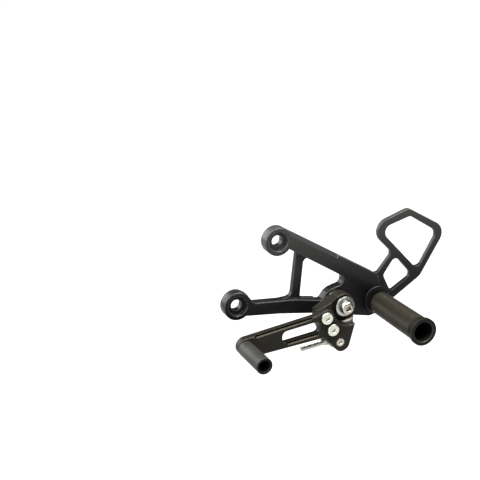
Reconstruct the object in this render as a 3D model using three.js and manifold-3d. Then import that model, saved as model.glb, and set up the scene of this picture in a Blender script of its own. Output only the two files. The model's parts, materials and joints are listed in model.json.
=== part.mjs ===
// Left-hand motorcycle rearset: fixed foot peg, side plate, heel guard and gear-shift lever with rod end.
// Millimetres. +X points to the rear of the motorcycle, -Y points outboard to the rider's boot, +Z is up.
// The origin is on the axis of the upper frame bolt, in the plane of the plate's frame-side boss faces.

import * as THREE from 'three';
import { mergeVertices } from 'three/addons/utils/BufferGeometryUtils.js';
import Module from 'manifold-3d';

const wasm = await Module();
wasm.setup();

// ---------------------------------------------------------------- driving dimensions

const GAP = 0.3; // clearance kept between pieces that touch
const PAST = 1; // how far a cutting tool runs past the face that it cuts
const RIM = 0.6; // usual chamfer on machined rims

// Side plate, in layers along Y.
const EYE_LENGTH = 11;
const OUTER_FACE = -EYE_LENGTH;
const PLATE_THICKNESS = 10;
const INNER_FACE = OUTER_FACE + PLATE_THICKNESS;
const THIN_THICKNESS = 5; // strut and heel guard
const THIN_FACE = INNER_FACE - THIN_THICKNESS;
const ARM_SLOPE = THREE.MathUtils.degToRad(30.5); // fall of the upper arm towards the rear
const ARM_CHAMFER_MIDDLE = [36, -5.3];
const ARM_CHAMFER_LENGTH = 60;
const ARM_CHAMFER_SIDE = 5;

// Eyes that take the two frame bolts.
const UPPER_EYE = [0, 0];
const LOWER_EYE = [-40, -56];
const EYE_RADIUS = 13.3;
const EYE_COUNTERBORE_RADIUS = 9;
const EYE_COUNTERBORE_DEPTH = 4.4;
const EYE_COUNTERSINK = 0.5;
const EYE_HOLE_RADIUS = 5.2;

// Foot peg and its fastening.
const PEG_AXIS = [106, -74];
const PEG_LENGTH = 80;
const PEG_RADIUS = 11.8;
const PEG_BASE_RADIUS = 11.3;
const PEG_RIM_RADIUS = 13;
const PEG_BORE_RADIUS = 9.3;
const PEG_FLOOR = 14;
const PEG_FLOOR_DIMPLE = 2;
const PLATE_END_AXIS = [PEG_AXIS[0], PEG_AXIS[1] + 1.4];
const PLATE_END_RADIUS = 13;
const COLLAR_AXIS = [PEG_AXIS[0] - 2.6, PEG_AXIS[1] + 3.6]; // eccentric: high and forward of the peg
const COLLAR_RADIUS = 13.6;
const COLLAR_THICKNESS = 2.4;
const PEG_BASE = OUTER_FACE - GAP - COLLAR_THICKNESS;
const PEG_END = OUTER_FACE - PEG_LENGTH;
const PEG_BOLT_RADIUS = 4;
const PEG_BOLT_HEAD_RADIUS = 6.5;
const PEG_BOLT_HEAD_HEIGHT = 5;
const PEG_BOLT_BITE = 10;
const PEG_WASHER_RADIUS = 8;
const PEG_WASHER_THICKNESS = 1.4;

// Countersunk screws that hold the heel guard from the frame side.
const GUARD_SCREWS = [[88, -56], [89, -74]];
const GUARD_SCREW_RADIUS = 2;
const GUARD_SCREW_HEAD_RADIUS = 4.1;
const GUARD_SCREW_CONE = 2.3;
const GUARD_SCREW_BITE = 3.2;

// Shift lever, in layers along Y.
const PIVOT = [59, -64.1];
const PIVOT_BOSS_RADIUS = 11.4;
const HUB_BACK = OUTER_FACE - 4.5;
const HUB_SEAT = OUTER_FACE - 16.5;
const ARM_FRONT = OUTER_FACE - 20;
const ARM_TIP_BACK = OUTER_FACE - 11;
const LEVER_BACK = ARM_FRONT - GAP;
const LEVER_FRONT = OUTER_FACE - 28;
const HUB_RADIUS = 11.2;
const ARM_TIP_X = 29.4;
const ARM_TAPER_END_X = 50;
const SCOOP_RADIUS = 16.2;
const SCOOP_FILLET = 6.5;

// Pivot stack between the side plate and the bolt head.
const PIVOT_BOLT_RADIUS = 3;
const PIVOT_BOLT_HEAD_RADIUS = 6.8;
const SLEEVE_RADIUS = 5;
const BUSH_RADIUS = 7;
const BUSH_FLANGE_RADIUS = 8.4;
const BUSH_FLANGE = 1.2;
const BUSH_LENGTH = 5;
const SPACER_RADIUS = 9.5;
const SPACER_BACK = OUTER_FACE - GAP;
const SPACER_FRONT = OUTER_FACE - 2.7;
const SLEEVE_BACK = SPACER_FRONT - GAP;
const SLEEVE_FRONT = OUTER_FACE - 18;
const WASHER_RADIUS = 9.6;
const WASHER_BACK = SLEEVE_FRONT - GAP;
const WASHER_FRONT = WASHER_BACK - 1.7;

// Toe lever, its two screws and its peg.
const UPPER_SCREW = [35.1, -68.4];
const LOWER_SCREW = [41.6, -80.8];
const LEVER_SCREW_RADIUS = 3;
const LEVER_END = [-43.1, -84.2];
const LEVER_END_RADIUS = 8.6;
const LEVER_GROOVES = [[[-34, -74.4], [19, -66.4]], [[-3, -86.3], [26, -82.9]]];
const GROOVE_RADIUS = 2.4;
const GROOVE_DEPTH = 1.8;
const TOE_AXIS = [-44.5, -84.7];
const TOE_PEG_RADIUS = 7.5;
const TOE_PEG_BORE_RADIUS = 5.3;
const TOE_PEG_LENGTH = 40;
const TOE_PEG_BASE = LEVER_FRONT - GAP;
const TOE_PEG_END = TOE_PEG_BASE - TOE_PEG_LENGTH;
const TOE_PEG_FLOOR = TOE_PEG_BASE - 5;
const TOE_SCREW_RADIUS = 3;

// Rod end below the pivot.
const ROD_AXIS = [50.8, -95.5];
const ROD_SLOPE = -0.13; // radians below the horizontal, towards the gearbox
const LUG_THICKNESS = 7;
const LUG_BACK = LEVER_FRONT + LUG_THICKNESS;
const BALL_WIDTH = 8;
const BALL_RADIUS = 5.3;
const BALL_BORE_RADIUS = 2.8;
const ROD_CENTRE = LUG_BACK + GAP + BALL_WIDTH / 2;
const LINER_RADIUS = 6.5;
const ROD_HEAD_RADIUS = 9;
const ROD_HEAD_WIDTH = 6;
const ROD_NECK_RADIUS = 4.2;
const ROD_NECK_END = 11;
const ROD_SHANK_RADIUS = 3;
const ROD_SHANK_START = 14;
const ROD_REACH = 36;
const ROD_BOLT_RADIUS = 2.5;
const ROD_BOLT_SEAT_DEPTH = 3.2;
const ROD_NUT_FRONT = ROD_CENTRE + BALL_WIDTH / 2 + GAP;
const ROD_NUT_BACK = ROD_NUT_FRONT + 4;

// ---------------------------------------------------------------- materials

const FINISH = {
  blackAnodised: { color: 0x1b1c1c, roughness: 0.45, metalness: 0.6 },
  knurledBlack: { color: 0x1c1815, roughness: 0.6, metalness: 0.5 },
  bronzeAnodised: { color: 0x2b2720, roughness: 0.4, metalness: 0.7 },
  greyAnodised: { color: 0x4b4a42, roughness: 0.45, metalness: 0.7 },
  zinc: { color: 0xb9bfae, roughness: 0.35, metalness: 0.9 },
  steel: { color: 0xb8b6b0, roughness: 0.3, metalness: 1 },
  bronze: { color: 0x9a6f3a, roughness: 0.4, metalness: 0.9 },
};

// ---------------------------------------------------------------- geometry helpers

// Turns a three.js geometry with shared vertices into a closed solid with its faces pointing out.
function solid(geometry) {
  geometry.deleteAttribute('normal');
  geometry.deleteAttribute('uv');
  const merged = mergeVertices(geometry, 1e-4);
  const position = merged.attributes.position;
  const index = merged.index.array;
  const triangles = [];
  let volume = 0;
  const [a, b, c] = [new THREE.Vector3(), new THREE.Vector3(), new THREE.Vector3()];
  for (let i = 0; i < index.length; i += 3) {
    const [p, q, r] = [index[i], index[i + 1], index[i + 2]];
    if (p === q || q === r || r === p) continue;
    triangles.push(p, q, r);
    a.fromBufferAttribute(position, p);
    b.fromBufferAttribute(position, q);
    c.fromBufferAttribute(position, r);
    volume += a.dot(b.cross(c));
  }
  if (volume < 0) {
    for (let i = 0; i < triangles.length; i += 3) {
      [triangles[i], triangles[i + 1]] = [triangles[i + 1], triangles[i]];
    }
  }
  const mesh = new wasm.Mesh({
    numProp: 3,
    vertProperties: new Float32Array(position.array),
    triVerts: new Uint32Array(triangles),
  });
  return new wasm.Manifold(mesh);
}

function join(...solids) {
  return solids.reduce((sum, next) => sum.add(next));
}

function cut(body, ...tools) {
  return tools.reduce((rest, tool) => rest.subtract(tool), body);
}

// Closed outline from corners [x, z, radius]; each corner with a radius becomes an arc.
function rounded(corners, stepsPerQuarter = 5) {
  const points = [];
  corners.forEach(([x, z, radius = 0], i) => {
    const corner = new THREE.Vector2(x, z);
    if (radius === 0) {
      points.push(corner);
      return;
    }
    const [px, pz] = corners[(i + corners.length - 1) % corners.length];
    const [nx, nz] = corners[(i + 1) % corners.length];
    const toPrevious = new THREE.Vector2(px - x, pz - z).normalize();
    const toNext = new THREE.Vector2(nx - x, nz - z).normalize();
    const halfAngle = Math.acos(THREE.MathUtils.clamp(toPrevious.dot(toNext), -1, 1)) / 2;
    const setback = radius / Math.tan(halfAngle);
    const centre = toPrevious.clone().add(toNext).normalize();
    centre.multiplyScalar(radius / Math.sin(halfAngle)).add(corner);
    const from = toPrevious.multiplyScalar(setback).add(corner).sub(centre);
    const to = toNext.multiplyScalar(setback).add(corner).sub(centre);
    const sweep = Math.atan2(from.cross(to), from.dot(to));
    const steps = Math.max(2, Math.ceil((Math.abs(sweep) / (Math.PI / 2)) * stepsPerQuarter));
    for (let k = 0; k <= steps; k += 1) {
      points.push(from.clone().rotateAround(new THREE.Vector2(), (sweep * k) / steps).add(centre));
    }
  });
  return points;
}

// Points of a circle about a centre, the first one on its +X side.
function circle([x, z], radius, steps) {
  const points = [];
  for (let k = 0; k < steps; k += 1) {
    const angle = (2 * Math.PI * k) / steps;
    points.push(new THREE.Vector2(x + radius * Math.cos(angle), z + radius * Math.sin(angle)));
  }
  return points;
}

// Flat slab between two Y planes with the given outline in X and Z, its rims chamfered when asked.
function slab(points, yFront, yBack, chamfer = 0, holes = []) {
  const anticlockwise = THREE.ShapeUtils.isClockWise(points) ? [...points].reverse() : points;
  const shape = new THREE.Shape(anticlockwise);
  shape.holes = holes.map((hole) => new THREE.Path(hole));
  const geometry = new THREE.ExtrudeGeometry(shape, {
    depth: yBack - yFront - 2 * chamfer,
    bevelEnabled: chamfer > 0,
    bevelThickness: chamfer,
    bevelSize: chamfer,
    bevelOffset: -chamfer,
    bevelSegments: 1,
    steps: 1,
  });
  geometry.rotateX(Math.PI / 2);
  geometry.translate(0, yBack - chamfer, 0);
  return solid(geometry);
}

// Solid turned about the Y direction through [x, z] from a closed profile of [radius, y].
function turned([x, z], profile, segments = 32) {
  const points = profile.map(([radius, y]) => new THREE.Vector2(radius, y));
  if (profile[0][0] > 0) points.push(points[0].clone());
  const geometry = new THREE.LatheGeometry(points, segments);
  geometry.translate(x, 0, z);
  return solid(geometry);
}

// Plain round bar along Y, for shanks and for the holes that they pass through.
function rod(centre, radius, yFront, yBack, segments = 32) {
  return turned(centre, [[0, yFront], [radius, yFront], [radius, yBack], [0, yBack]], segments);
}

// Ring or tube whose outer rims carry a chamfer.
function ring(centre, inner, outer, yFront, yBack, chamfer = 0, segments = 32) {
  const profile = [[inner, yFront], [outer - chamfer, yFront], [outer, yFront + chamfer]];
  profile.push([outer, yBack - chamfer], [outer - chamfer, yBack], [inner, yBack]);
  return turned(centre, chamfer > 0 ? profile : profile.filter((_, i) => i !== 1 && i !== 4), segments);
}

// Hexagonal prism, for sockets and nuts, given across its flats.
function hexagon(centre, acrossFlats, yFront, yBack) {
  return slab(circle(centre, acrossFlats / Math.sqrt(3), 6), yFront, yBack);
}

// Socket screw pointing inboard: a turned head and shank with a hexagon socket. The crown is how much the
// head's radius shrinks towards its top, over the crown's height.
function screw(centre, sizes) {
  const { headRadius, headHeight, shankRadius, seat, tip, socket, socketDepth } = sizes;
  const { crown = RIM, crownHeight = crown } = sizes;
  const top = seat - headHeight;
  const body = turned(centre, [
    [0, top],
    [headRadius - crown, top],
    [headRadius, top + crownHeight],
    [headRadius, seat],
    [shankRadius, seat],
    [shankRadius, tip - RIM],
    [shankRadius - RIM, tip],
    [0, tip],
  ], 28);
  return cut(body, hexagon(centre, socket, top - PAST, top + socketDepth));
}

const part = new THREE.Group();

function add(name, body, finish) {
  const { vertProperties, triVerts } = body.getMesh();
  const geometry = new THREE.BufferGeometry();
  geometry.setAttribute('position', new THREE.BufferAttribute(new Float32Array(vertProperties), 3));
  geometry.setIndex(new THREE.BufferAttribute(new Uint32Array(triVerts), 1));
  const flat = geometry.toNonIndexed();
  flat.computeVertexNormals();
  const mesh = new THREE.Mesh(flat, new THREE.MeshStandardMaterial(finish));
  mesh.name = name;
  part.add(mesh);
}

// ---------------------------------------------------------------- side plate

function thickPlate() {
  const outline = rounded([
    [6.8, 11.4],
    [101, -44, 4],
    [105, -48, 3],
    [107, -57, 2],
    [115.5, -64.5],
    [117, -75],
    [104, -85.4],
    [97, -87.2, 5],
    [34, -74.3, 80],
    [2, -69.7, 80],
    [-32, -66.6],
    [-42, -64],
    [-42, -48],
    [-31.3, -45.4],
    [-24.2, -55.2, 4],
    [16.9, -58, 80],
    [45.3, -63.2, 3],
    [50, -56.4],
    [59, -52.1],
    [66.5, -50.6, 5],
    [68, -43.2, 4],
    [8.6, -6.9, 5],
    [3, -10.1],
  ]);
  return join(
    slab(outline, OUTER_FACE, INNER_FACE, RIM),
    ring(PIVOT, 0, PIVOT_BOSS_RADIUS, OUTER_FACE, INNER_FACE, RIM),
    ring(PLATE_END_AXIS, 0, PLATE_END_RADIUS, OUTER_FACE, INNER_FACE, RIM),
  );
}

// Thin strut between the two arms, set back from the outer face.
function strut() {
  const outline = rounded([
    [21, -4],
    [19.8, -14],
    [15.4, -56.6, 6],
    [1, -57.4],
    [1, -64],
    [40, -68],
    [40, -61.4],
    [24, -58.8, 3.5],
    [27.6, -17.5, 4.5],
    [40, -25.6],
    [40, -16],
  ]);
  return slab(outline, THIN_FACE, INNER_FACE);
}

// Wide chamfer milled along the top of the upper arm, from the eye to a little past half way along.
function armChamfer() {
  const geometry = new THREE.BoxGeometry(ARM_CHAMFER_LENGTH, ARM_CHAMFER_SIDE, ARM_CHAMFER_SIDE);
  geometry.rotateX(Math.PI / 4);
  geometry.rotateY(ARM_SLOPE);
  geometry.translate(ARM_CHAMFER_MIDDLE[0], OUTER_FACE, ARM_CHAMFER_MIDDLE[1]);
  return solid(geometry);
}

// Stepped bore of an eye: countersunk mouth, counterbore for the bolt head, then the bolt hole.
function eyeBore(centre) {
  const floor = OUTER_FACE + EYE_COUNTERBORE_DEPTH;
  const mouth = OUTER_FACE + EYE_COUNTERSINK;
  return turned(centre, [
    [0, OUTER_FACE - PAST],
    [EYE_COUNTERBORE_RADIUS + EYE_COUNTERSINK + PAST, OUTER_FACE - PAST],
    [EYE_COUNTERBORE_RADIUS, mouth],
    [EYE_COUNTERBORE_RADIUS, floor],
    [EYE_HOLE_RADIUS, floor],
    [EYE_HOLE_RADIUS, PAST],
    [0, PAST],
  ]);
}

// Outline of the heel guard's root, which lies in a pocket behind the plate.
function guardRoot(margin) {
  return rounded([
    [82 - margin, -44.5 + margin, 5],
    [101, -44.5 + margin],
    [108, -40 + margin],
    [131, -40],
    [131, -72],
    [108, -80 - margin],
    [82 - margin, -80 - margin, 5],
  ]);
}

function mainPlate() {
  const guardPocket = join(
    slab(guardRoot(GAP), THIN_FACE - GAP, INNER_FACE + PAST),
    rod(PLATE_END_AXIS, PLATE_END_RADIUS + 2 * GAP, THIN_FACE - GAP, INNER_FACE + PAST),
  );
  const arms = cut(thickPlate(), guardPocket, armChamfer());
  const eyes = [UPPER_EYE, LOWER_EYE].map((centre) => ring(centre, 0, EYE_RADIUS, OUTER_FACE, 0, RIM, 36));
  const screwHole = GUARD_SCREW_RADIUS + GAP;
  return cut(
    join(arms, strut(), ...eyes),
    eyeBore(UPPER_EYE),
    eyeBore(LOWER_EYE),
    rod(PEG_AXIS, PEG_BOLT_RADIUS + GAP, OUTER_FACE - PAST, INNER_FACE + PAST, 24),
    rod(PIVOT, PIVOT_BOLT_RADIUS + GAP, OUTER_FACE - PAST, INNER_FACE + PAST, 24),
    ...GUARD_SCREWS.map((centre) => (
      rod(centre, screwHole, THIN_FACE - GUARD_SCREW_BITE - 0.4, THIN_FACE + PAST, 20)
    )),
  );
}

// ---------------------------------------------------------------- heel guard

function heelGuard() {
  const outline = rounded([
    [82, -44.5, 5],
    [107, -46.2, 4],
    [122.1, -27.9, 5],
    [94.8, -0.7, 12.5],
    [138.2, 14.1, 8],
    [181.8, -10.7, 12.5],
    [154.5, -56.2, 10],
    [116, -81.4],
    [100, -80],
    [82, -80, 5],
  ]);
  const bigLoop = rounded([
    [107.3, -3.4, 7.3],
    [140.3, 6.2, 5],
    [172, -13.6, 7],
    [151.5, -49.7, 6],
  ]);
  const smallLoop = rounded([
    [125.7, -31.7, 5],
    [145.1, -53.4, 4.5],
    [122, -67.5, 3.5],
    [113.2, -49.8, 4],
  ]);
  const plate = slab(outline, THIN_FACE, INNER_FACE, RIM, [bigLoop, smallLoop]);
  const boss = ring(PLATE_END_AXIS, 0, PLATE_END_RADIUS - 0.2, THIN_FACE, INNER_FACE, RIM);
  return cut(
    join(plate, boss),
    rod(PEG_AXIS, PEG_BOLT_RADIUS + GAP, THIN_FACE - PAST, INNER_FACE + PAST, 24),
    ...GUARD_SCREWS.map(countersunkHole),
  );
}

function countersunkHole(centre) {
  const shank = GUARD_SCREW_RADIUS + GAP;
  return turned(centre, [
    [0, THIN_FACE - PAST],
    [shank, THIN_FACE - PAST],
    [shank, INNER_FACE - GUARD_SCREW_CONE - GAP],
    [shank + GUARD_SCREW_CONE, INNER_FACE - GAP],
    [shank + GUARD_SCREW_CONE, INNER_FACE + PAST],
    [0, INNER_FACE + PAST],
  ], 20);
}

// Countersunk screw driven outboard from the frame side.
function guardScrew(centre) {
  const face = INNER_FACE - GAP;
  const tip = THIN_FACE - GUARD_SCREW_BITE;
  const body = turned(centre, [
    [0, tip],
    [GUARD_SCREW_RADIUS, tip],
    [GUARD_SCREW_RADIUS, face - GUARD_SCREW_CONE],
    [GUARD_SCREW_HEAD_RADIUS, face - 0.4],
    [GUARD_SCREW_HEAD_RADIUS, face],
    [0, face],
  ], 20);
  return cut(body, hexagon(centre, 2.5, face - 1.6, face + PAST));
}

// ---------------------------------------------------------------- foot peg

function pegCollar() {
  const disc = ring(COLLAR_AXIS, 0, COLLAR_RADIUS, PEG_BASE, OUTER_FACE - GAP, 0.8, 36);
  return cut(disc, rod(PEG_AXIS, PEG_BOLT_RADIUS + GAP, PEG_BASE - PAST, OUTER_FACE, 20));
}

// Hollow peg: solid base with a blind bolt hole, tapered tube, groove and raised rim at the outer end.
function footPeg() {
  const base = PEG_BASE - GAP;
  const holeEnd = base - PEG_FLOOR + PEG_FLOOR_DIMPLE;
  return turned(PEG_AXIS, [
    [0, holeEnd],
    [PEG_BOLT_RADIUS + GAP, holeEnd],
    [PEG_BOLT_RADIUS + GAP, base],
    [PEG_BASE_RADIUS - 0.6, base],
    [PEG_BASE_RADIUS, base - 0.8],
    [PEG_RADIUS, PEG_END + 8],
    [PEG_RADIUS - 1, PEG_END + 7],
    [PEG_RADIUS - 1, PEG_END + 4.2],
    [PEG_RIM_RADIUS - 0.6, PEG_END + 3.6],
    [PEG_RIM_RADIUS, PEG_END + 3],
    [PEG_RIM_RADIUS, PEG_END + 0.8],
    [PEG_RIM_RADIUS - 0.8, PEG_END],
    [PEG_BORE_RADIUS + 0.6, PEG_END],
    [PEG_BORE_RADIUS, PEG_END + 0.6],
    [PEG_BORE_RADIUS, base - PEG_FLOOR],
    [0, base - PEG_FLOOR],
  ], 44);
}

function pegWasher() {
  const back = INNER_FACE + GAP + PEG_WASHER_THICKNESS;
  return ring(PEG_AXIS, PEG_BOLT_RADIUS + GAP, PEG_WASHER_RADIUS, INNER_FACE + GAP, back, 0.3);
}

// Bolt driven outboard from the frame side into the peg's solid base.
function pegBolt() {
  const seat = INNER_FACE + 2 * GAP + PEG_WASHER_THICKNESS;
  const top = seat + PEG_BOLT_HEAD_HEIGHT;
  const tip = PEG_BASE - PEG_BOLT_BITE;
  const body = turned(PEG_AXIS, [
    [0, tip],
    [PEG_BOLT_RADIUS - RIM, tip],
    [PEG_BOLT_RADIUS, tip + RIM],
    [PEG_BOLT_RADIUS, seat],
    [PEG_BOLT_HEAD_RADIUS, seat],
    [PEG_BOLT_HEAD_RADIUS, top - RIM],
    [PEG_BOLT_HEAD_RADIUS - RIM, top],
    [0, top],
  ], 28);
  return cut(body, hexagon(PEG_AXIS, 5, top - 3, top + PAST));
}

// ---------------------------------------------------------------- pivot

function pivotSpacer() {
  return ring(PIVOT, PIVOT_BOLT_RADIUS + GAP, SPACER_RADIUS, SPACER_FRONT, SPACER_BACK, 0.4);
}

function pivotSleeve() {
  return ring(PIVOT, PIVOT_BOLT_RADIUS + GAP, SLEEVE_RADIUS, SLEEVE_FRONT, SLEEVE_BACK, 0.3);
}

function pivotWasher() {
  return ring(PIVOT, PIVOT_BOLT_RADIUS + GAP, WASHER_RADIUS, WASHER_FRONT, WASHER_BACK, 0.4);
}

function pivotBolt() {
  return screw(PIVOT, {
    headRadius: PIVOT_BOLT_HEAD_RADIUS,
    headHeight: 6,
    shankRadius: PIVOT_BOLT_RADIUS,
    seat: WASHER_FRONT - GAP,
    tip: INNER_FACE - 1,
    socket: 5,
    socketDepth: 3,
    crown: 2.6,
    crownHeight: 5.2,
  });
}

// Flanged bush; side is +1 for the inboard one and -1 for the outboard one.
function bush(face, side) {
  const inner = SLEEVE_RADIUS + GAP;
  const flange = face + side * (BUSH_FLANGE + GAP);
  const shoulder = face + side * GAP;
  const end = face - side * BUSH_LENGTH;
  return turned(PIVOT, [
    [inner, flange],
    [BUSH_FLANGE_RADIUS, flange],
    [BUSH_FLANGE_RADIUS, shoulder],
    [BUSH_RADIUS, shoulder],
    [BUSH_RADIUS, end],
    [inner, end],
  ]);
}

// ---------------------------------------------------------------- shift hub

// Round recess about the pivot for the washer and bolt head, with a ball-nose fillet at its foot.
function scoop() {
  const mouth = LEVER_FRONT - 2 * PAST;
  const filletCentre = [SCOOP_RADIUS - SCOOP_FILLET, HUB_SEAT - SCOOP_FILLET];
  const profile = [[0, mouth], [SCOOP_RADIUS, mouth]];
  const steps = 6;
  for (let k = 0; k <= steps; k += 1) {
    const angle = (k / steps) * (Math.PI / 2);
    profile.push([
      filletCentre[0] + SCOOP_FILLET * Math.cos(angle),
      filletCentre[1] + SCOOP_FILLET * Math.sin(angle),
    ]);
  }
  profile.push([0, HUB_SEAT]);
  return turned(PIVOT, profile, 40);
}

// Outline of the toe lever's head and blade, grown by a margin for the seat that it lies in.
function leverOutline(margin) {
  return rounded([
    [LEVER_END[0], LEVER_END[1] + LEVER_END_RADIUS + margin],
    [26, -65.4 + margin, 10],
    [39.2 + margin, -58.9 + margin, 7],
    [53.5 + margin, -86.3 - margin, 8],
    [-32, -93.9 - margin, 14],
    [LEVER_END[0], LEVER_END[1] - LEVER_END_RADIUS - margin],
  ]);
}

// The hub's arm: full thickness at the boss, its back face sloping outboard towards the tip.
function hubArm() {
  const outline = rounded([
    [58, -53.6],
    [52, -55.3, 6],
    [ARM_TIP_X, -63.9, 1.2],
    [29, -75],
    [38, -89.8, 7],
    [50, -84.6, 3],
    [66.5, -86, 4],
    [70.3, -64],
  ]);
  const taper = Math.atan2(HUB_BACK - ARM_TIP_BACK, ARM_TAPER_END_X - ARM_TIP_X);
  const relief = new THREE.BoxGeometry(60, 20, 80);
  relief.translate(0, 10, 0);
  relief.rotateZ(taper);
  relief.translate(ARM_TIP_X, ARM_TIP_BACK, PIVOT[1]);
  return cut(slab(outline, ARM_FRONT, HUB_BACK, RIM), solid(relief));
}

// Lug that carries the rod end, in the toe lever's layer, and the bridge that joins it to the arm.
function hubLug() {
  const outline = rounded([
    [30, -82],
    [34.8, -89.4, 4],
    [50.4, -106.2, 7],
    [59.4, -102.4, 7.5],
    [65.4, -79.5, 5],
    [68.5, -70],
    [52, -58],
  ]);
  const bridge = rounded([
    [46, -85, 2],
    [65.5, -86, 3],
    [68, -64],
    [52, -70],
  ]);
  return join(
    slab(outline, LEVER_FRONT, LUG_BACK, RIM),
    slab(bridge, LUG_BACK - PAST, ARM_FRONT + PAST),
  );
}

function shiftHub() {
  const boss = ring(PIVOT, 0, HUB_RADIUS, HUB_SEAT, HUB_BACK, RIM);
  const boltHole = ROD_BOLT_RADIUS + GAP;
  const boltSeat = LEVER_FRONT + ROD_BOLT_SEAT_DEPTH;
  return cut(
    join(boss, hubArm(), hubLug()),
    slab(leverOutline(GAP), LEVER_FRONT - PAST, ARM_FRONT),
    scoop(),
    rod(PIVOT, BUSH_RADIUS + GAP, HUB_SEAT - PAST, HUB_BACK + PAST, 36),
    ...[UPPER_SCREW, LOWER_SCREW].map((centre) => (
      rod(centre, LEVER_SCREW_RADIUS + GAP, ARM_FRONT - PAST, HUB_BACK + PAST, 24)
    )),
    rod(ROD_AXIS, boltHole, LEVER_FRONT - PAST, LUG_BACK + PAST, 24),
    rod(ROD_AXIS, 4.6, LEVER_FRONT - PAST, boltSeat, 28),
  );
}

// ---------------------------------------------------------------- toe lever

// Ball-nose groove between two points of the lever's outer face.
function groove([[x1, z1], [x2, z2]]) {
  const length = Math.hypot(x2 - x1, z2 - z1);
  const geometry = new THREE.CapsuleGeometry(GROOVE_RADIUS, length, 4, 14);
  geometry.rotateZ(Math.PI / 2);
  geometry.rotateY(-Math.atan2(z2 - z1, x2 - x1));
  geometry.translate((x1 + x2) / 2, LEVER_FRONT - GROOVE_RADIUS + GROOVE_DEPTH, (z1 + z2) / 2);
  return solid(geometry);
}

function toeLever() {
  const slot = rounded([
    [-8.6, -75.6, 5],
    [29.4, -70.6, 4],
    [28.6, -82.2, 4],
    [-8.4, -86.8, 4],
  ]);
  const blade = join(
    slab(leverOutline(0), LEVER_FRONT, LEVER_BACK, RIM, [slot]),
    ring(LEVER_END, 0, LEVER_END_RADIUS, LEVER_FRONT, LEVER_BACK, RIM),
  );
  return cut(
    blade,
    ...LEVER_GROOVES.map(groove),
    ...[UPPER_SCREW, LOWER_SCREW, TOE_AXIS].map((centre) => (
      rod(centre, LEVER_SCREW_RADIUS + GAP, LEVER_FRONT - PAST, LEVER_BACK + PAST, 24)
    )),
  );
}

function leverScrew(centre) {
  return screw(centre, {
    headRadius: 5.7,
    headHeight: 3,
    shankRadius: LEVER_SCREW_RADIUS,
    seat: LEVER_FRONT - GAP,
    tip: ARM_TIP_BACK - PAST,
    socket: 4,
    socketDepth: 2,
    crown: 0.8,
  });
}

function toePeg() {
  const hole = TOE_SCREW_RADIUS + GAP;
  return turned(TOE_AXIS, [
    [hole, TOE_PEG_FLOOR],
    [hole, TOE_PEG_BASE],
    [TOE_PEG_RADIUS - 0.5, TOE_PEG_BASE],
    [TOE_PEG_RADIUS, TOE_PEG_BASE - 0.5],
    [TOE_PEG_RADIUS, TOE_PEG_END + 0.7],
    [TOE_PEG_RADIUS - 0.7, TOE_PEG_END],
    [TOE_PEG_BORE_RADIUS + 0.4, TOE_PEG_END],
    [TOE_PEG_BORE_RADIUS, TOE_PEG_END + 0.4],
    [TOE_PEG_BORE_RADIUS, TOE_PEG_FLOOR],
  ], 36);
}

function toePegScrew() {
  return screw(TOE_AXIS, {
    headRadius: 4.9,
    headHeight: 5,
    shankRadius: TOE_SCREW_RADIUS,
    seat: TOE_PEG_FLOOR - GAP,
    tip: LEVER_BACK - 0.5,
    socket: 5,
    socketDepth: 2.8,
  });
}

// ---------------------------------------------------------------- rod end

function rodEndBolt() {
  return screw(ROD_AXIS, {
    headRadius: 4.1,
    headHeight: 2.6,
    shankRadius: ROD_BOLT_RADIUS,
    seat: LEVER_FRONT + ROD_BOLT_SEAT_DEPTH - GAP,
    tip: ROD_NUT_BACK + 0.6,
    socket: 3,
    socketDepth: 1.5,
  });
}

function rodEndNut() {
  return cut(
    hexagon(ROD_AXIS, 8, ROD_NUT_FRONT, ROD_NUT_BACK),
    rod(ROD_AXIS, ROD_BOLT_RADIUS + GAP, ROD_NUT_FRONT - PAST, ROD_NUT_BACK + PAST, 20),
  );
}

// Points of a circular arc in [radius, y] that bulges outward, for a ball or its race.
function bulge(radius, halfWidth, steps) {
  const reach = Math.asin(halfWidth / radius);
  const points = [];
  for (let k = 0; k <= steps; k += 1) {
    const angle = -reach + (2 * reach * k) / steps;
    points.push([radius * Math.cos(angle), ROD_CENTRE + radius * Math.sin(angle)]);
  }
  return points;
}

function rodEndBall() {
  const half = BALL_WIDTH / 2;
  return turned(ROD_AXIS, [
    [BALL_BORE_RADIUS, ROD_CENTRE - half],
    ...bulge(BALL_RADIUS, half, 6),
    [BALL_BORE_RADIUS, ROD_CENTRE + half],
  ], 24);
}

function rodEndLiner() {
  const half = ROD_HEAD_WIDTH / 2 - GAP;
  return turned(ROD_AXIS, [
    ...bulge(BALL_RADIUS + GAP, half, 4),
    [LINER_RADIUS, ROD_CENTRE + half],
    [LINER_RADIUS, ROD_CENTRE - half],
  ], 28);
}

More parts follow.
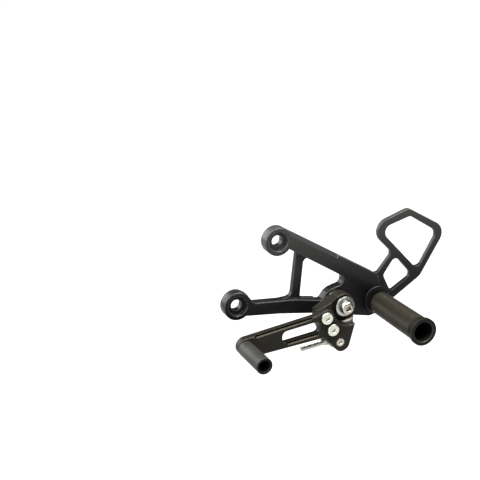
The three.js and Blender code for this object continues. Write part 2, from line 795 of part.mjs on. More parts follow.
// Eye, flattened neck and threaded shank in one piece.
function rodEndHousing() {
  const half = ROD_HEAD_WIDTH / 2;
  const head = ring(ROD_AXIS, 0, ROD_HEAD_RADIUS, ROD_CENTRE - half, ROD_CENTRE + half, 0.8, 36);
  const profile = [
    [0, 0],
    [ROD_NECK_RADIUS, 0],
    [ROD_NECK_RADIUS, ROD_NECK_END],
    [ROD_SHANK_RADIUS, ROD_SHANK_START],
    [ROD_SHANK_RADIUS, ROD_REACH - 0.8],
    [ROD_SHANK_RADIUS - 0.8, ROD_REACH],
    [0, ROD_REACH],
  ];
  const points = profile.map(([radius, reach]) => new THREE.Vector2(radius, reach));
  const shank = new THREE.LatheGeometry(points, 20);
  shank.rotateZ(Math.PI / 2);
  shank.rotateY(ROD_SLOPE);
  shank.translate(ROD_AXIS[0], ROD_CENTRE, ROD_AXIS[1]);
  const flats = rod(ROD_AXIS, ROD_REACH + 2, ROD_CENTRE - half, ROD_CENTRE + half, 24);
  const eye = rod(ROD_AXIS, LINER_RADIUS + GAP, ROD_CENTRE - ROD_HEAD_WIDTH, ROD_CENTRE + ROD_HEAD_WIDTH);
  return cut(join(head, solid(shank).intersect(flats)), eye);
}

// ---------------------------------------------------------------- assembly

add('main_plate', mainPlate(), FINISH.blackAnodised);
add('heel_guard', heelGuard(), FINISH.blackAnodised);
add('guard_screw_upper', guardScrew(GUARD_SCREWS[0]), FINISH.steel);
add('guard_screw_lower', guardScrew(GUARD_SCREWS[1]), FINISH.steel);
add('peg_collar', pegCollar(), FINISH.blackAnodised);
add('foot_peg', footPeg(), FINISH.knurledBlack);
add('peg_washer', pegWasher(), FINISH.steel);
add('peg_bolt', pegBolt(), FINISH.steel);
add('pivot_spacer', pivotSpacer(), FINISH.steel);
add('pivot_sleeve', pivotSleeve(), FINISH.steel);
add('pivot_washer', pivotWasher(), FINISH.zinc);
add('pivot_bolt', pivotBolt(), FINISH.steel);
add('shift_hub', shiftHub(), FINISH.bronzeAnodised);
add('bush_inboard', bush(HUB_BACK, 1), FINISH.bronze);
add('bush_outboard', bush(HUB_SEAT, -1), FINISH.bronze);
add('toe_lever', toeLever(), FINISH.bronzeAnodised);
add('toe_lever_screw_upper', leverScrew(UPPER_SCREW), FINISH.zinc);
add('toe_lever_screw_lower', leverScrew(LOWER_SCREW), FINISH.zinc);
add('toe_peg', toePeg(), FINISH.greyAnodised);
add('toe_peg_screw', toePegScrew(), FINISH.steel);
add('rod_end_bolt', rodEndBolt(), FINISH.steel);
add('rod_end_nut', rodEndNut(), FINISH.zinc);
add('rod_end_ball', rodEndBall(), FINISH.steel);
add('rod_end_liner', rodEndLiner(), FINISH.bronze);
add('rod_end_housing', rodEndHousing(), FINISH.zinc);

export default part;
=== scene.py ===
"""Looks for a left-hand motorcycle rearset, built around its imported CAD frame. Metres, row frame."""

import json
import math

import bmesh
import bpy
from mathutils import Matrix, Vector

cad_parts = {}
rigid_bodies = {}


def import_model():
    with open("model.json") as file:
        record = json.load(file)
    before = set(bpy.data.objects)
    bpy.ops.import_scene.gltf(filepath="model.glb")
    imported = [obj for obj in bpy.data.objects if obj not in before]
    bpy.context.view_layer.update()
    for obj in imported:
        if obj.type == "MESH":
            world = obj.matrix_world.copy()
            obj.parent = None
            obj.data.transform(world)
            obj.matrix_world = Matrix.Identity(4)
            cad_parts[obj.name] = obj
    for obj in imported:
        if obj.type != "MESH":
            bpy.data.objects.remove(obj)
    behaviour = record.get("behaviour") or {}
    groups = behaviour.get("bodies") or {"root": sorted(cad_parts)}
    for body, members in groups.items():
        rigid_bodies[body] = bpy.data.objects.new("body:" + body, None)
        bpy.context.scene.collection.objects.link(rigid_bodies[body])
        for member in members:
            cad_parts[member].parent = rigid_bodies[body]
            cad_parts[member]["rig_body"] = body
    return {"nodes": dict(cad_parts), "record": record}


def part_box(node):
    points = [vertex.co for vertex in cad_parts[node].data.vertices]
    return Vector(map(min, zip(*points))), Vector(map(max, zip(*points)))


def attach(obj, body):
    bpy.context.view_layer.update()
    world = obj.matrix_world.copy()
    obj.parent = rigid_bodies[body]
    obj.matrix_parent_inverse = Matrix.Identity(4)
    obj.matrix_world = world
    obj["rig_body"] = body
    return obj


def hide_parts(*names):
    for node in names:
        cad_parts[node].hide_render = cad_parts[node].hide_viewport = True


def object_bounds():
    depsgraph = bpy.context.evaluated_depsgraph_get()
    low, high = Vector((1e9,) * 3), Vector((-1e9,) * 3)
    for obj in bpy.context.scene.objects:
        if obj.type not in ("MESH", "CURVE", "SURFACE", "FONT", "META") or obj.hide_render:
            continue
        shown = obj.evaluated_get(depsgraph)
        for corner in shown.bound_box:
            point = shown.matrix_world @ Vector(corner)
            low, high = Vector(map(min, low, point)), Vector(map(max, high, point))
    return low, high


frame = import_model()
cad_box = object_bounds()
nodes = frame["nodes"]

MM = 0.001

# Sizes of the round pieces that their boxes in the frame do not give.
PEG_BODY_RADIUS = 11.8 * MM
PEG_BASE_RADIUS = 11.3 * MM
PEG_BORE_RADIUS = 9.3 * MM
PEG_FLOOR_THICKNESS = 14 * MM
PEG_FLOOR_DIMPLE = 2 * MM
PEG_BOLT_HOLE_RADIUS = 4.3 * MM
PEG_BOLT_RADIUS = 4 * MM
MOUTH_CHAMFER = 0.7 * MM
TOE_BORE_RADIUS = 5.3 * MM
TOE_FLOOR_THICKNESS = 5 * MM
SMALL_HOLE_RADIUS = 3.3 * MM  # round the pivot bolt and the toe peg's screw
SMALL_SHANK_RADIUS = 3 * MM

# The foot peg's knurl. Every other vertex round the body is a peak, and the rows are staggered.
KNURL_ACROSS = 92  # vertices round the body
KNURL_DEPTH = 0.42 * MM
KNURL_FROM_BASE = 1.6 * MM
KNURL_FROM_END = 9 * MM

# Small details of every screw.
SOCKET_CONE = 0.5 * MM  # depth of the cone under the socket's floor
SOCKET_CHAMFER = 0.35 * MM
HEAD_RELIEF = 0.15 * MM  # how much the head narrows at its seat
TIP_LENGTH = 0.6 * MM
TIP_NARROWING = 0.5 * MM

# The hollow in the hub and the grooves of the toe lever, in the plane of the plate.
SCOOP_REACH = 16.4 * MM
GROOVES = (((-34, -74.4), (19, -66.4)), ((-3, -86.3), (26, -82.9)))  # ends (x, z) in millimetres
GROOVE_DEPTH = 1.9 * MM
GROOVE_REACH = 2.45 * MM

# The rings on the rod end's shank, by distance from the ball's centre.
ROD_SLOPE = 0.13  # radians below the horizontal, forwards
RING_PITCH = 1 * MM
RINGS_START = 15 * MM
RINGS_END = 35 * MM
RING_WAIST = 0.9  # radius between two rings, as a share of the shank's

# Mesh work.
WELD_DISTANCE = 2e-6
FLAT_DEGREES = 0.6  # faces closer to flat than this are merged
EDGE_DEGREES = 28  # edges sharper than this are rounded
MARGIN = 0.2 * MM

# Looks.
PAINTED_LIGHT_HEIGHTS = (-0.07, 0.02)  # the plate is painted lighter between these heights, a painted reflection that brightens towards the top
# Width of the edge mask for wear and painted edge highlights.
WEAR_AND_GLINT_WIDTH = 0.6 * MM
LENS = 79.93
CAMERA_PLACE = (-0.3895, -0.8307, 0.3056)
CAMERA_FALL = 18.5  # degrees below the horizontal
CAMERA_TURN = 23.2  # degrees round towards the front
FLOOR_DROP = 0.35
FLOOR_HALF = 30.0
WORLD_STRENGTH = 0.2
LAMPS = {
    # name: place, width and height, watts
    "back": ((-0.75, 1.3, 0.4), (1.1, 1.1), 33),
    "key": ((0.45, -0.5, 1.35), (1.0, 0.9), 75),
    "top": ((-0.75, -0.05, 1.2), (1.1, 1.0), 55),
    "left": ((-1.3, -0.45, 0.5), (0.7, 0.9), 20),
}


# ---------------------------------------------------------------- node materials

class Surface:
    """A node material with one principled shader and helpers that wire into it."""

    def __init__(self, name, colour, roughness, metallic, **sockets):
        self.material = bpy.data.materials.new(name)
        self.material.use_nodes = True
        self.tree = self.material.node_tree
        self.shader = self.tree.nodes["Principled BSDF"]
        self.set(self.shader, Base_Color=(*colour, 1), Roughness=roughness, Metallic=metallic, **sockets)
        self.point = self.tree.nodes.new("ShaderNodeTexCoord").outputs["Object"]

    def set(self, node, **sockets):
        """Constant values straight on a node's inputs; an underscore stands for a space."""
        for name, value in sockets.items():
            node.inputs[name.replace("_", " ")].default_value = value

    def add(self, kind, **attributes):
        node = self.tree.nodes.new(kind)
        for name, value in attributes.items():
            setattr(node, name, value)
        return node

    def link(self, source, target):
        self.tree.links.new(source, target)

    def stretched(self, scale):
        """Object coordinates multiplied by a scale per axis."""
        mapping = self.add("ShaderNodeMapping")
        mapping.inputs["Scale"].default_value = scale
        self.link(self.point, mapping.inputs["Vector"])
        return mapping.outputs["Vector"]

    def noise(self, size, detail=4.0, roughness=0.55, vector=None):
        """Fractal noise, 0 to 1, with features of about the given size in metres."""
        node = self.add("ShaderNodeTexNoise")
        node.inputs["Scale"].default_value = 1 / size
        node.inputs["Detail"].default_value = detail
        node.inputs["Roughness"].default_value = roughness
        self.link(vector or self.point, node.inputs["Vector"])
        return node.outputs["Fac"]

    def ramp(self, value, low, high, low_colour=(0, 0, 0), high_colour=(1, 1, 1)):
        """Colour that runs from one to the other as the value goes from low to high."""
        node = self.add("ShaderNodeValToRGB")
        node.color_ramp.elements[0].position = low
        node.color_ramp.elements[1].position = high
        node.color_ramp.elements[0].color = (*low_colour, 1)
        node.color_ramp.elements[1].color = (*high_colour, 1)
        self.link(value, node.inputs["Fac"])
        return node.outputs["Color"]

    def mix(self, factor, first, second):
        """Colour mix; first and second are sockets or colours."""
        node = self.add("ShaderNodeMix", data_type="RGBA")
        self.link(factor, node.inputs["Factor"])
        for name, value in (("A", first), ("B", second)):
            socket = [s for s in node.inputs if s.name == name and s.type == "RGBA"][0]
            if isinstance(value, tuple):
                socket.default_value = (*value, 1)
            else:
                self.link(value, socket)
        return [s for s in node.outputs if s.type == "RGBA"][0]

    def times(self, first, second):
        """Product of two sockets."""
        node = self.add("ShaderNodeMath", operation="MULTIPLY")
        self.link(first, node.inputs[0])
        self.link(second, node.inputs[1])
        return node.outputs["Value"]

    def blend(self, factor, socket, constant):
        """Moves from a socket's value to a constant as the factor goes from 0 to 1."""
        node = self.add("ShaderNodeMix", data_type="FLOAT")
        self.link(factor, node.inputs["Factor"])
        self.link(socket, node.inputs["A"])
        node.inputs["B"].default_value = constant
        return node.outputs["Result"]

    def scaled(self, value, low, high):
        """Maps 0..1 to low..high."""
        node = self.add("ShaderNodeMapRange")
        node.inputs["To Min"].default_value = low
        node.inputs["To Max"].default_value = high
        self.link(value, node.inputs["Value"])
        return node.outputs["Result"]

    def height(self, low, high):
        """0 below the low height, 1 above the high one."""
        split = self.add("ShaderNodeSeparateXYZ")
        self.link(self.point, split.inputs["Vector"])
        node = self.add("ShaderNodeMapRange", interpolation_type="SMOOTHSTEP")
        node.inputs["From Min"].default_value = low
        node.inputs["From Max"].default_value = high
        self.link(split.outputs["Z"], node.inputs["Value"])
        return node.outputs["Result"]

    def bump(self, height, strength, distance):
        """Fine relief of the surface."""
        node = self.add("ShaderNodeBump")
        node.inputs["Strength"].default_value = strength
        node.inputs["Distance"].default_value = distance
        self.link(height, node.inputs["Height"])
        self.link(node.outputs["Normal"], self.shader.inputs["Normal"])

    def edge_mask(self, radius):
        """1 on convex and concave edges, 0 on flats; it places edge wear and painted edge highlights."""
        bevel = self.add("ShaderNodeBevel", samples=6)
        bevel.inputs["Radius"].default_value = radius
        geometry = self.add("ShaderNodeNewGeometry")
        dot = self.add("ShaderNodeVectorMath", operation="DOT_PRODUCT")
        self.link(bevel.outputs["Normal"], dot.inputs[0])
        self.link(geometry.outputs["Normal"], dot.inputs[1])
        return self.ramp(dot.outputs["Value"], 0.86, 0.995, (1, 1, 1), (0, 0, 0))

    def colour(self, socket):
        self.link(socket, self.shader.inputs["Base Color"])

    def roughness(self, socket):
        self.link(socket, self.shader.inputs["Roughness"])


def anodised(name, colour, tint, roughness, gloss, edge, grain=0.12, painted_top_light=None):
    """Bead-blasted, anodised aluminium: a fine grain, faint cloudy tint, and paler, glossier edges that are
    partly real wear and partly painted highlight lines.

    The optional top colour is painted in towards the top of the part, a painted reflection that brightens
    with height.
    """
    surface = Surface(name, colour, roughness, 0.0, Specular_IOR_Level=gloss)
    cloud = surface.ramp(surface.noise(22 * MM, 3), 0.35, 0.7)
    body = surface.mix(cloud, colour, tint)
    # Painted reflection: the colour is painted paler towards the top of the part.
    if painted_top_light:
        body = surface.mix(surface.height(*PAINTED_LIGHT_HEIGHTS), body, painted_top_light)
    # Edges painted paler: partly real wear, partly painted highlight lines that stand in for glints.
    wear_and_glint_breakup = surface.noise(6 * MM, 4)
    worn_and_glint = surface.times(surface.edge_mask(WEAR_AND_GLINT_WIDTH), surface.scaled(wear_and_glint_breakup, 0.45, 1.0))
    surface.colour(surface.mix(worn_and_glint, body, edge))
    speckle = surface.scaled(surface.noise(0.5 * MM, 2), roughness - 0.07, roughness + 0.07)
    surface.roughness(surface.blend(worn_and_glint, speckle, 0.24))
    surface.link(surface.scaled(worn_and_glint, 0.0, 0.7), surface.shader.inputs["Metallic"])
    surface.bump(surface.noise(0.28 * MM, 3, 0.6), grain, 0.05 * MM)
    return surface.material


def plated(name, colour, stain, roughness):
    """Bare or plated metal with faint cloudy stains and fine tool marks."""
    surface = Surface(name, colour, roughness, 1.0)
    cloud = surface.ramp(surface.noise(3 * MM, 4), 0.4, 0.75)
    surface.colour(surface.mix(cloud, colour, stain))
    surface.roughness(surface.scaled(surface.noise(1.5 * MM, 3), roughness - 0.08, roughness + 0.1))
    turned_marks = surface.noise(0.3 * MM, 2, 0.5, surface.stretched((1, 4, 1)))
    surface.bump(turned_marks, 0.05, 0.04 * MM)
    return surface.material


# The last colour of each anodised finish paints its edges paler, partly as real wear and partly as painted
# highlight lines.
# The plate's extra colour paints it paler towards the top, a painted reflection.
PLATE = anodised(
    "plate_black", (0.002, 0.0022, 0.0021), (0.0034, 0.0037, 0.0034), 0.36, 0.1, (0.2, 0.2, 0.185),
    painted_top_light=(0.023, 0.0235, 0.022),
)
PEG = anodised(
    "peg_black", (0.0054, 0.0047, 0.0031), (0.0081, 0.007, 0.0047), 0.5, 0.07, (0.024, 0.0208, 0.015)
)
# Painted highlight: a paler finish for the chamfer round the mouth of the foot peg's bore.
MOUTH_HIGHLIGHT = anodised(
    "mouth_painted_highlight", (0.022, 0.0205, 0.0165), (0.017, 0.016, 0.013), 0.36, 0.16, (0.06, 0.056, 0.045)
)
LEVER = anodised(
    "lever_bronze", (0.0066, 0.0058, 0.0041), (0.0098, 0.0086, 0.0062), 0.44, 0.09, (0.1, 0.092, 0.074)
)
TOE_PEG = anodised(
    "toe_peg_grey", (0.014, 0.014, 0.0122), (0.0195, 0.0195, 0.017), 0.5, 0.09, (0.14, 0.14, 0.125),
    grain=0.06,
)
ZINC = plated("zinc_screw", (0.56, 0.58, 0.48), (0.45, 0.47, 0.385), 0.3)
WASHER = plated("zinc_washer", (0.36, 0.38, 0.345), (0.30, 0.32, 0.28), 0.28)
ZINC_YELLOW = plated("zinc_yellow", (0.34, 0.36, 0.31), (0.26, 0.28, 0.24), 0.3)
STEEL = plated("bright_steel", (0.44, 0.405, 0.345), (0.33, 0.30, 0.255), 0.26)
BRONZE = plated("bush_bronze", (0.12, 0.09, 0.055), (0.08, 0.06, 0.04), 0.4)
# Painted shade: a near-black finish for the pegs' bores and front end rings, where shade falls.
INSIDE_SHADE = anodised(
    "bore_painted_shade", (0.003, 0.003, 0.003), (0.0045, 0.0045, 0.0042), 0.5, 0.08, (0.12, 0.115, 0.095)
)
# Painted highlight: a paler metal finish for the walls of the hollow round the pivot seat, standing in for
# the light gathered by the concave wall.
SCOOP_HIGHLIGHT = plated("scoop_painted_highlight", (0.13, 0.125, 0.105), (0.095, 0.091, 0.075), 0.38)
GROOVE = plated("milled_groove", (0.0088, 0.008, 0.0062), (0.0066, 0.006, 0.0047), 0.24)

FINISH = {
    "plate_black": PLATE,
    "peg_black": PEG,
    "lever_bronze": LEVER,
    "toe_peg_grey": TOE_PEG,
    "zinc_screw": ZINC,
    "zinc_yellow": ZINC_YELLOW,
    "bright_steel": STEEL,
    "bush_bronze": BRONZE,
}


# ---------------------------------------------------------------- stage, lights and camera

def stage():
    """A large pale floor that glows a little, so that it reads as white."""
    z = cad_box[0].z - FLOOR_DROP
    half = FLOOR_HALF
    corners = [(-half, -half, z), (half, -half, z), (half, half, z), (-half, half, z)]
    mesh = bpy.data.meshes.new("floor")
    mesh.from_pydata(corners, [], [(0, 1, 2, 3)])
    floor = bpy.data.objects.new("floor", mesh)
    bpy.context.scene.collection.objects.link(floor)
    surface = Surface("pale_floor", (0.15, 0.15, 0.15), 0.9, 0.0, Specular_IOR_Level=0.0)
    surface.set(surface.shader, Emission_Color=(1, 1, 1, 1), Emission_Strength=1.0)
    mesh.materials.append(surface.material)


def world():
    """Even white light from all round."""
    background = bpy.data.worlds.new("studio")
    background.use_nodes = True
    sky = background.node_tree.nodes["Background"]
    sky.inputs["Color"].default_value = (1, 1, 1, 1)
    sky.inputs["Strength"].default_value = WORLD_STRENGTH
    bpy.context.scene.world = background


def softbox(name, where, target, size, power):
    """A rectangular lamp that faces the target."""
    light = bpy.data.lights.new(name, "AREA")
    light.shape = "RECTANGLE"
    light.size, light.size_y = size
    light.energy = power
    lamp = bpy.data.objects.new(name, light)
    lamp.location = where
    lamp.rotation_euler = (Vector(target) - Vector(where)).to_track_quat("-Z", "Y").to_euler()
    bpy.context.scene.collection.objects.link(lamp)


def camera():
    """The photo's camera."""
    lens = bpy.data.cameras.new("camera")
    lens.lens = LENS
    lens.sensor_width = 36
    lens.clip_end = 100
    view = bpy.data.objects.new("camera", lens)
    view.location = CAMERA_PLACE
    view.rotation_euler = (math.radians(90 - CAMERA_FALL), 0, math.radians(-CAMERA_TURN))
    bpy.context.scene.collection.objects.link(view)
    bpy.context.scene.camera = view


# ---------------------------------------------------------------- mesh helpers

def piece(name, mesh, materials, node):
    """A new object for a mesh, with its materials, riding where its CAD node rides and standing for it."""
    item = bpy.data.objects.new(name, mesh)
    bpy.context.scene.collection.objects.link(item)
    for material in materials:
        mesh.materials.append(material)
    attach(item, nodes[node]["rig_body"])
    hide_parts(node)
    return item


def shade(bm, sharp_degrees=38):
    """Smooth faces, with sharp edges where two faces meet at a clear angle."""
    limit = math.radians(sharp_degrees)
    for face in bm.faces:
        face.smooth = True
    for edge in bm.edges:
        edge.smooth = len(edge.link_faces) == 2 and edge.calc_face_angle(0) < limit


def refined(node, width=0.3 * MM, segments=2, second=None, chosen=None, detail=None):
    """The CAD node's own shape with its triangles merged into clean faces and its edges softly rounded.

    Faces picked by chosen(centre, normal) get the second material; detail(bm) may add finer shape.
    """
    bm = bmesh.new()
    bm.from_mesh(nodes[node].data)
    bmesh.ops.remove_doubles(bm, verts=bm.verts, dist=WELD_DISTANCE)
    flat = math.radians(FLAT_DEGREES)
    bmesh.ops.dissolve_limit(bm, angle_limit=flat, verts=bm.verts, edges=bm.edges)
    limit = math.radians(EDGE_DEGREES)
    sharp = [e for e in bm.edges if len(e.link_faces) == 2 and e.calc_face_angle(0) > limit]
    bmesh.ops.bevel(
        bm, geom=sharp, offset=width, segments=segments, profile=0.6, affect="EDGES", clamp_overlap=True
    )
    if detail:
        detail(bm)
    bm.normal_update()
    for face in bm.faces:
        if chosen and chosen(face.calc_center_median(), face.normal):
            face.material_index = 1
    shade(bm, 45)
    mesh = bpy.data.meshes.new(node + "_refined")
    bm.to_mesh(mesh)
    bm.free()
    materials = [FINISH[SLOT[node]]]
    if second:
        materials.append(second)
    return piece(node + "_fine", mesh, materials, node)


def lathe(centre, rings, segments=96, knurled=range(0)):
    """A closed mesh turned about the Y direction through centre (x, z).

    Each ring is (radius, y); the radius may be a function of the angle. Radius 0 closes an end on the axis.
    Quads of the rows in knurled are split along their valleys, for a diamond knurl.
    """
    bm = bmesh.new()
    rows = []
    for radius, y in rings:
        if radius == 0:
            rows.append([bm.verts.new((centre[0], y, centre[1]))])
            continue
        row = []
        for k in range(segments):
            angle = 2 * math.pi * k / segments
            r = radius(angle) if callable(radius) else radius
            row.append(bm.verts.new((centre[0] + r * math.cos(angle), y, centre[1] + r * math.sin(angle))))
        rows.append(row)
    if len(rows[0]) > 1:
        rows.append(rows[0])
    for i in range(len(rows) - 1):
        low, high = rows[i], rows[i + 1]
        for k in range(segments):
            n = (k + 1) % segments
            if len(low) == 1:
                bm.faces.new((low[0], high[n], high[k]))
            elif len(high) == 1:
                bm.faces.new((low[k], low[n], high[0]))
            elif i in knurled and (i + k) % 2 == 0:
                bm.faces.new((low[k], low[n], high[k]))
                bm.faces.new((low[n], high[n], high[k]))
            elif i in knurled:
                bm.faces.new((low[k], low[n], high[n]))
                bm.faces.new((low[k], high[n], high[k]))
            else:
                bm.faces.new((low[k], low[n], high[n], high[k]))
    bmesh.ops.recalc_face_normals(bm, faces=bm.faces)
    return bm


def finish_mesh(bm, node, sharp_degrees=38, materials=None):
    """Shades a turned mesh and stands it in for its CAD node."""
    shade(bm, sharp_degrees)
    mesh = bpy.data.meshes.new(node + "_mesh")
    bm.to_mesh(mesh)
    bm.free()
    return piece(node + "_fine", mesh, materials or [FINISH[SLOT[node]]], node)


def darken_inside(bm, centre, radius, end):
    """Second material, painted shade, on the faces of the bore and of the end ring."""
    for face in bm.faces:
        middle = face.calc_center_median()
        distance = math.hypot(middle.x - centre[0], middle.z - centre[1])
        at_end = abs(middle.y - end) < 0.05 * MM
        if distance < radius or at_end:
            face.material_index = 1


def hexagonal(across_flats):
    """Radius of a hexagon at an angle."""
    sixth = math.pi / 3
    return lambda angle: across_flats / 2 / math.cos((angle % sixth) - sixth / 2)


def eased(points, radius, steps=3):
    """Rings with each listed corner (r, y, True) replaced by a small arc."""
    out = []
    for i, point in enumerate(points):
        if len(point) == 2:
            out.append(point)
            continue
        corner = Vector(point[:2])
        before = (Vector(points[i - 1][:2]) - corner).normalized()
        after = (Vector(points[(i + 1) % len(points)][:2]) - corner).normalized()
        for k in range(steps + 1):
            t = k / steps
            start, end = corner + before * radius, corner + after * radius
            spot = start.lerp(corner, t).lerp(corner.lerp(end, t), t)
            out.append((spot.x, spot.y))
    return out


# ---------------------------------------------------------------- turned pieces

SLOT = {part["node"]: part["material_slot"] for part in frame["record"]["subparts"]}


def axis_of(node):
    """Axis (x, z) of a round node, its largest radius and its outboard and inboard ends."""
    low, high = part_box(node)
    return ((low.x + high.x) / 2, (low.z + high.z) / 2), (high.x - low.x) / 2, low.y, high.y


def ring_piece(node, bore, materials=None):
    """A washer, spacer or sleeve with rounded outer edges."""
    centre, radius, front, back = axis_of(node)
    rings = [(bore, front), (radius, front, True), (radius, back, True), (bore, back)]
    finish_mesh(lathe(centre, eased(rings, 0.3 * MM)), node, materials=materials)


def foot_peg():
    """Hollow peg: bolt hole, knurled body widening outwards, groove, raised rim and bore."""
    node = "foot_peg"
    centre, rim, end, base = axis_of(node)
    body, body_base, bore = PEG_BODY_RADIUS, PEG_BASE_RADIUS, PEG_BORE_RADIUS
    floor = base - PEG_FLOOR_THICKNESS
    rings = [
        (0, floor + PEG_FLOOR_DIMPLE),
        (PEG_BOLT_HOLE_RADIUS, floor + PEG_FLOOR_DIMPLE),
        (PEG_BOLT_HOLE_RADIUS, base),
        (body_base - 0.5 * MM, base),
        (body_base - 0.1 * MM, base - 0.5 * MM),
    ]
    knurl_start, knurl_end = base - KNURL_FROM_BASE, end + KNURL_FROM_END
    count = int(round((knurl_start - knurl_end) / (2 * math.pi * body / KNURL_ACROSS)))
    first = len(rings)
    for i in range(count + 1):
        t = i / count
        top = body_base + (body - body_base) * t
        y = knurl_start + (knurl_end - knurl_start) * t
        rings.append((knurl_radius(top, (first + i) % 2), y))
    last = len(rings) - 1
    land, groove = body - 0.15 * MM, body - 1.1 * MM
    rings += eased([
        (land, knurl_end - 0.3 * MM),
        (land, end + 7.2 * MM, True),
        (groove, end + 6.8 * MM, True),
        (groove, end + 4.4 * MM, True),
        (rim, end + 3.6 * MM, True),
        (rim, end, True),
        (bore + MOUTH_CHAMFER, end, True),
        (bore, end + MOUTH_CHAMFER, True),
        (bore, floor, True),
        (0, floor),
    ], 0.2 * MM)
    bm = lathe(centre, rings, KNURL_ACROSS, range(first, last))
    # Painted shade in the bore and on the end ring.
    darken_inside(bm, centre, bore + 0.05 * MM, end)
    # Painted highlight on the chamfer round the bore's mouth.
    paint_mouth_highlight(bm, centre, bore, end)
    finish_mesh(bm, node, 30, [PEG, INSIDE_SHADE, MOUTH_HIGHLIGHT])


def paint_mouth_highlight(bm, centre, bore, end):
    """Third material, a painted highlight, on the chamfer round the mouth of the peg's bore."""
    border = 0.08 * MM
    for face in bm.faces:
        middle = face.calc_center_median()
        distance = math.hypot(middle.x - centre[0], middle.z - centre[1])
        on_chamfer = bore + border < distance < bore + MOUTH_CHAMFER - border
        if on_chamfer and middle.y < end + MOUTH_CHAMFER:
            face.material_index = 2


def knurl_radius(top, parity):
    """Radius at an angle, alternately high and low round a ring."""
    def radius(angle):
        k = int(round(angle / (2 * math.pi) * KNURL_ACROSS))
        return top if (k + parity) % 2 == 0 else top - KNURL_DEPTH
    return radius


def toe_peg():
    """Short plain peg with a bore and a screw hole through its floor."""
    node = "toe_peg"
    centre, radius, end, base = axis_of(node)
    bore, hole = TOE_BORE_RADIUS, SMALL_HOLE_RADIUS
    floor = base - TOE_FLOOR_THICKNESS
    rings = eased([
        (hole, floor),
        (hole, base),
        (radius, base, True),
        (radius, end, True),
        (bore, end, True),
        (bore, floor, True),
    ], 0.5 * MM, 4)
    bm = lathe(centre, rings)
    # Painted shade in the bore and on the end ring.
    darken_inside(bm, centre, bore + 0.8 * MM, end)
    finish_mesh(bm, node, 40, [TOE_PEG, INSIDE_SHADE])


def socket_screw(node, head_height, shank, socket, depth, ease=0.5 * MM, outboard=True, knurl=False):
    """Socket screw: eased head, hexagon socket with a chamfered mouth, plain shank with a chamfered end."""
    centre, head, front, back = axis_of(node)
    top, tip = (front, back) if outboard else (back, front)
    way = 1 if outboard else -1
    seat = top + way * head_height
    mouth = socket / math.sqrt(3) + 0.1 * MM
    rings = [(0, top + way * (depth + SOCKET_CONE)), (hexagonal(socket), top + way * depth)]
    rings += [(hexagonal(socket), top + way * SOCKET_CHAMFER), (mouth, top)]
    rings += eased([(mouth, top), (head, top, True), (head, top + way * 1.2 * MM)], ease, 4)[1:]
    if knurl:
        side = knurled_head(head)
        rings += [(side, top + way * 1.3 * MM), (side, seat - way * 0.5 * MM)]
    rings += [(head - HEAD_RELIEF, seat), (shank, seat)]
    rings += [(shank, tip - way * TIP_LENGTH), (shank - TIP_NARROWING, tip), (0, tip)]
    finish_mesh(lathe(centre, rings), node)


def domed_bolt():
    """Pivot bolt: head falling in a smooth dome from a small flat crown with a hexagon socket."""
    node = "pivot_bolt"
    centre, head, top, tip = axis_of(node)
    crown, dome, seat = 4.2 * MM, 5.2 * MM, top + 6 * MM
    socket, depth, shank = 5 * MM, 3 * MM, SMALL_SHANK_RADIUS
    mouth = socket / math.sqrt(3) + 0.1 * MM
    rings = [(0, top + depth + SOCKET_CONE), (hexagonal(socket), top + depth)]
    rings += [(hexagonal(socket), top + SOCKET_CHAMFER), (mouth, top)]
    steps = 10
    for i in range(steps + 1):
        turn = math.pi / 2 * i / steps
        rings.append((crown + (head - crown) * math.sin(turn), top + dome * (1 - math.cos(turn))))
    rings += [(head - HEAD_RELIEF, seat), (shank, seat)]
    rings += [(shank, tip - TIP_LENGTH), (shank - TIP_NARROWING, tip), (0, tip)]
    finish_mesh(lathe(centre, rings), node, 30)


def knurled_head(radius):
    """Radius at an angle of a cap screw's head with 24 shallow flutes."""
    return lambda angle: radius - 0.18 * MM * (1 if math.cos(24 * angle) < 0 else 0)


def screws():
    """Each screw by head height, shank radius, socket across flats and socket depth."""
    domed_bolt()
    for name in ("toe_lever_screw_upper", "toe_lever_screw_lower"):
        socket_screw(name, 3 * MM, SMALL_SHANK_RADIUS, 4 * MM, 2 * MM, ease=1.1 * MM)
    socket_screw("toe_peg_screw", 5 * MM, SMALL_SHANK_RADIUS, 5 * MM, 2.8 * MM)
    socket_screw("rod_end_bolt", 2.6 * MM, 2.5 * MM, 3 * MM, 1.5 * MM, ease=0.6 * MM)
    socket_screw("peg_bolt", 5 * MM, PEG_BOLT_RADIUS, 5 * MM, 3 * MM, outboard=False, knurl=True)


# ---------------------------------------------------------------- milled hollows and rings on the shank

def scoop_test():
    """Picks the walls of the hollow milled round the pivot bolt's seat, for a painted highlight."""
    pivot, _, _, _ = axis_of("pivot_washer")
    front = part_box("shift_hub")[0].y + MARGIN
    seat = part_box("pivot_washer")[1].y + MARGIN

    def chosen(centre, normal):
        spoke = Vector((centre.x - pivot[0], 0, centre.z - pivot[1]))
        inside = spoke.length < SCOOP_REACH and front < centre.y < seat
        return inside and spoke.dot(normal) < 0

    return chosen


def groove_test():
    """Picks the ball-nose grooves of the toe lever's outer face."""
    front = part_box("toe_lever")[0].y

    def chosen(centre, normal):
        if not front + 0.1 * MM < centre.y < front + GROOVE_DEPTH or normal.y > -0.25:
            return False
        spot = Vector((centre.x, centre.z))
        return any(distance_to(spot, *ends) < GROOVE_REACH for ends in GROOVES)

    return chosen


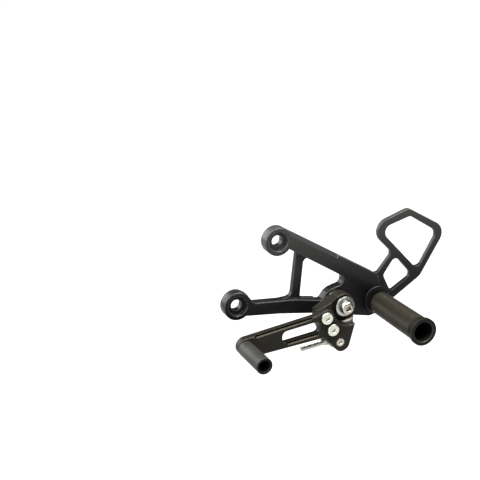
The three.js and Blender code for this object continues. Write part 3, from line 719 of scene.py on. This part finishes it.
def distance_to(spot, start, end):
    """Distance in metres from a point to the line between two ends given in millimetres."""
    first, last = Vector(start) * MM, Vector(end) * MM
    run = last - first
    along = min(max((spot - first).dot(run) / run.length_squared, 0), 1)
    return (spot - first - run * along).length


def ring_rod_end(bm):
    """Cuts the rod end's smooth shank into a row of rings, with the pitch of an M6 thread."""
    low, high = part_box("rod_end_ball")
    start = (low + high) / 2
    way = Vector((-math.cos(ROD_SLOPE), 0, -math.sin(ROD_SLOPE)))
    cuts = int((RINGS_END - RINGS_START) / RING_PITCH * 2)
    for i in range(cuts + 1):
        spot = start + way * (RINGS_START + i * RING_PITCH / 2)
        bmesh.ops.bisect_plane(
            bm, geom=bm.verts[:] + bm.edges[:] + bm.faces[:], dist=1e-7, plane_co=spot, plane_no=way
        )
    slack = 0.01
    for vert in bm.verts:
        along = (vert.co - start).dot(way)
        number = (along - RINGS_START) / (RING_PITCH / 2)
        on_cut = -slack < number < cuts + slack and abs(number - round(number)) < slack
        if on_cut and round(number) % 2:
            core = start + way * along
            vert.co = core + (vert.co - core) * RING_WAIST


# ---------------------------------------------------------------- assembly

refined("main_plate")
refined("heel_guard")
# The hollow's walls take the painted highlight finish.
refined("shift_hub", second=SCOOP_HIGHLIGHT, chosen=scoop_test())
refined("toe_lever", second=GROOVE, chosen=groove_test())
for part in ("guard_screw_upper", "guard_screw_lower", "rod_end_nut"):
    refined(part, 0.2 * MM)
refined("rod_end_housing", 0.2 * MM, detail=ring_rod_end)
for part in ("bush_inboard", "bush_outboard", "rod_end_ball", "rod_end_liner"):
    refined(part, 0.15 * MM)
refined("peg_collar", 0.5 * MM, 3)
ring_piece("peg_washer", PEG_BOLT_HOLE_RADIUS)
ring_piece("pivot_spacer", SMALL_HOLE_RADIUS)
ring_piece("pivot_sleeve", SMALL_HOLE_RADIUS)
ring_piece("pivot_washer", SMALL_HOLE_RADIUS, [WASHER])
foot_peg()
toe_peg()
screws()

camera()
stage()
world()
middle = (cad_box[0] + cad_box[1]) / 2
for lamp_name, (place, size, watts) in LAMPS.items():
    softbox(lamp_name, place, middle, size, watts)
bpy.context.scene.view_settings.view_transform = "Standard"
